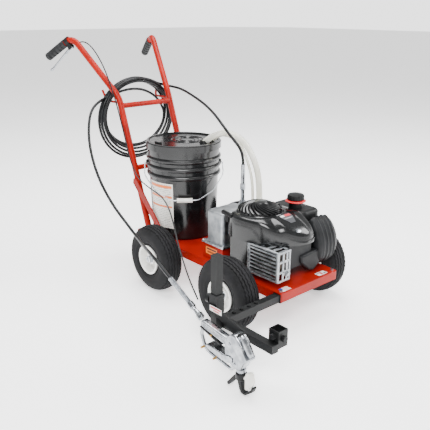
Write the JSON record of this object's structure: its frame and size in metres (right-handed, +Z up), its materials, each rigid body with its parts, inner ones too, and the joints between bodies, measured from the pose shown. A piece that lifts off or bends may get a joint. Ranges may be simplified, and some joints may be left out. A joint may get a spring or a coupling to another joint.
{
  "type": "line striping machine",
  "caption": "Walk-behind airless line striping machine: wheeled cart with engine, paint pump, paint pail, hose and spray gun on a side arm.",
  "frame": {"origin": "on the ground, on the cart's centreline, midway between the two axles", "axes": "+Z up, -Y the way the machine travels, -X the operator's right-hand side, where the gun is"},
  "size_m": [0.7771, 1.5054, 0.9247],
  "materials": {
    "bearing_steel": "satin",
    "belt_rubber": "matte",
    "black_paint": "satin",
    "black_plastic": "gloss",
    "cast_aluminium": "cast",
    "cast_iron": "machined",
    "chrome_plate": "polished",
    "clear_vinyl": "translucent",
    "crankcase_aluminium": "cast",
    "dark_plastic": "matte",
    "grip_rubber": "matte",
    "hose_cover": "satin",
    "muffler_steel": "matte",
    "red_paint": "gloss",
    "tip_plastic": "matte",
    "tyre_rubber": "matte",
    "white_rim": "gloss",
    "zinc_steel": "satin"
  },
  "bodies": {
    "cart": {"deck": "red_paint", "axle_blocks": "black_paint", "axles": "zinc_steel", "wheel_bearings": "bearing_steel", "handle_rails": "red_paint", "brace_struts": "red_paint", "grips": "grip_rubber", "lever_bracket": "black_paint", "trigger_cable": "hose_cover", "pail": "black_plastic", "pail_lid": "black_plastic", "suction_strainer": "zinc_steel", "suction_tube": "clear_vinyl", "return_tube": "clear_vinyl", "pump_riser": "red_paint", "pump_plate": "zinc_steel", "gearbox": "cast_aluminium", "pump_manifold": "zinc_steel", "outlet_fitting": "chrome_plate", "drive_belt": "belt_rubber", "crankcase": "crankcase_aluminium", "blower_housing": "black_plastic", "starter_grille": "dark_plastic", "muffler": "muffler_steel", "muffler_guard": "cast_aluminium", "fuel_tank": "dark_plastic", "air_filter": "dark_plastic", "arm_sleeve": "black_paint", "hose_coil": "hose_cover", "hose_to_gun": "hose_cover", "hose_to_pump": "hose_cover", "fasteners": "zinc_steel"},
    "wheel_front_right": {"tyre_front_right": "tyre_rubber", "rim_front_right": "white_rim"},
    "wheel_front_left": {"tyre_front_left": "tyre_rubber", "rim_front_left": "white_rim"},
    "wheel_rear_right": {"tyre_rear_right": "tyre_rubber", "rim_rear_right": "white_rim"},
    "wheel_rear_left": {"tyre_rear_left": "tyre_rubber", "rim_rear_left": "white_rim"},
    "trigger_lever": {"trigger_lever": "cast_aluminium"},
    "lid_flap": {"lid_flap": "black_plastic"},
    "pail_bail": {"pail_bail": "zinc_steel", "bail_grip": "tip_plastic"},
    "crankshaft": {"crankshaft": "cast_iron", "engine_pulley": "cast_iron", "flywheel": "cast_iron"},
    "pump_shaft": {"pump_pulley": "cast_iron"},
    "fuel_cap": {"fuel_cap": "dark_plastic"},
    "starter_handle": {"starter_handle": "dark_plastic"},
    "pressure_knob": {"pressure_knob": "dark_plastic"},
    "gun_arm": {"gun_arm": "black_paint", "arm_knobs": "dark_plastic"},
    "gun_holder": {"gun_holder": "black_paint", "holder_knob": "dark_plastic", "gun_body": "cast_aluminium", "hose_swivel": "chrome_plate"},
    "gun_trigger": {"gun_trigger": "cast_aluminium"},
    "tip_guard": {"tip_guard": "dark_plastic"},
    "spray_tip": {"spray_tip": "tip_plastic"}
  },
  "joints": [
    {"name": "front_right_wheel_spin", "type": "hinge", "parent": "cart", "child": "wheel_front_right", "pos_m": [-0.23, -0.204, 0.128], "axis": [1, 0, 0], "continuous": true},
    {"name": "front_left_wheel_spin", "type": "hinge", "parent": "cart", "child": "wheel_front_left", "pos_m": [0.23, -0.204, 0.128], "axis": [1, 0, 0], "continuous": true},
    {"name": "rear_right_wheel_spin", "type": "hinge", "parent": "cart", "child": "wheel_rear_right", "pos_m": [-0.23, 0.204, 0.128], "axis": [1, 0, 0], "continuous": true},
    {"name": "rear_left_wheel_spin", "type": "hinge", "parent": "cart", "child": "wheel_rear_left", "pos_m": [0.23, 0.204, 0.128], "axis": [1, 0, 0], "continuous": true},
    {"name": "trigger_lever_pull", "type": "hinge", "parent": "cart", "child": "trigger_lever", "pos_m": [-0.2072, 0.80035, 0.8796], "axis": [0.9378, 0.3471, 0], "range_deg": [0, 14], "stiffness_Nm_per_rad": 0.6, "springref_deg": -11.46},
    {"name": "lid_flap_open", "type": "hinge", "parent": "cart", "child": "lid_flap", "pos_m": [-0.0525, 0.313, 0.5405], "axis": [0, 1, 0], "range_deg": [0, 110]},
    {"name": "bail_swing", "type": "hinge", "parent": "cart", "child": "pail_bail", "pos_m": [0, 0.313, 0.449], "axis": [0.788, -0.6157, 0], "range_deg": [-30, 0]},
    {"name": "crankshaft_spin", "type": "hinge", "parent": "cart", "child": "crankshaft", "pos_m": [-0.038, -0.16, 0.25], "axis": [0, 0, 1], "continuous": true},
    {"name": "pump_shaft_spin", "type": "hinge", "parent": "cart", "child": "pump_shaft", "pos_m": [-0.051, -0.0125, 0.2], "axis": [0, 0, 1], "continuous": true},
    {"name": "fuel_cap_turn", "type": "hinge", "parent": "cart", "child": "fuel_cap", "pos_m": [0.106, -0.196, 0.39], "axis": [0, 0, 1], "range_deg": [0, 90]},
    {"name": "starter_pull", "type": "slide", "parent": "cart", "child": "starter_handle", "axis": [-0.5013, 0.1504, 0.8521], "range_m": [0, 0.6]},
    {"name": "pressure_knob_turn", "type": "hinge", "parent": "cart", "child": "pressure_knob", "pos_m": [0.068, 0.06, 0.27], "axis": [0, 1, 0], "range_deg": [0, 270]},
    {"name": "gun_arm_slide", "type": "slide", "parent": "cart", "child": "gun_arm", "axis": [-1, 0, 0], "range_m": [0, 0.08]},
    {"name": "gun_height_slide", "type": "slide", "parent": "gun_arm", "child": "gun_holder", "axis": [0, 0, 1], "range_m": [0, 0.1]},
    {"name": "gun_trigger_pull", "type": "hinge", "parent": "gun_holder", "child": "gun_trigger", "pos_m": [-0.458, -0.484, 0.104], "axis": [1, 0, 0], "range_deg": [0, 16]},
    {"name": "tip_guard_turn", "type": "hinge", "parent": "gun_holder", "child": "tip_guard", "pos_m": [-0.458, -0.508, 0.055], "axis": [0, 0, 1], "range_deg": [-30, 30]},
    {"name": "spray_tip_turn", "type": "hinge", "parent": "tip_guard", "child": "spray_tip", "pos_m": [-0.458, -0.508, 0.057], "axis": [0, -1, 0], "range_deg": [0, 180]}
  ],
  "couplings": [
    {"joint": "gun_trigger_pull", "follows": "trigger_lever_pull", "ratio": 1},
    {"joint": "pump_shaft_spin", "follows": "crankshaft_spin", "ratio": 0.5294}
  ]
}
